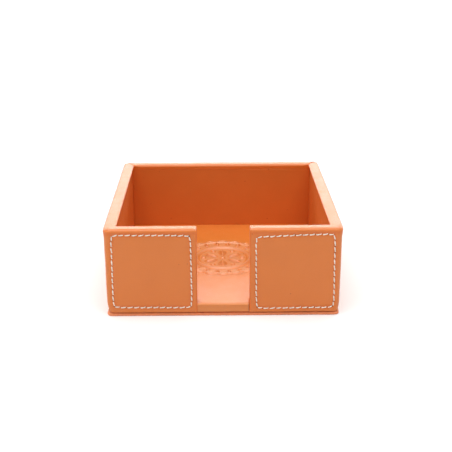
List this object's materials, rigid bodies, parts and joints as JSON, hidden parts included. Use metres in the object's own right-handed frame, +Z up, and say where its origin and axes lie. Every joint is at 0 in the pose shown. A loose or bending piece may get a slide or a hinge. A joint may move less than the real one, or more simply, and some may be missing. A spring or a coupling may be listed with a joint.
{
  "type": "memo pad holder",
  "caption": "Square open-topped tray for loose note sheets, leather over board, with a finger gap in the front, stitched front panels and a suede base pad.",
  "frame": {"origin": "middle of the underside of the base pad", "axes": "+X to the right and +Z up, as seen from the front; the front with the finger gap faces -Y"},
  "size_m": [0.104, 0.1043, 0.041],
  "materials": {
    "board": "matte",
    "cover_leather": "satin",
    "lining_leather": "satin",
    "floor_leather": "gloss",
    "card": "matte",
    "suede": "matte",
    "thread": "satin"
  },
  "bodies": {
    "root": {"base_board": "board", "back_board": "board", "left_side_board": "board", "right_side_board": "board", "front_left_board": "board", "front_right_board": "board", "left_cover": "cover_leather", "right_cover": "cover_leather", "back_cover": "cover_leather", "back_lining": "lining_leather", "left_lining": "lining_leather", "right_lining": "lining_leather", "front_left_lining": "lining_leather", "front_right_lining": "lining_leather", "floor_lining": "floor_leather", "base_infill": "card", "base_pad": "suede", "front_left_stitching": "thread", "front_right_stitching": "thread"}
  },
  "joints": []
}
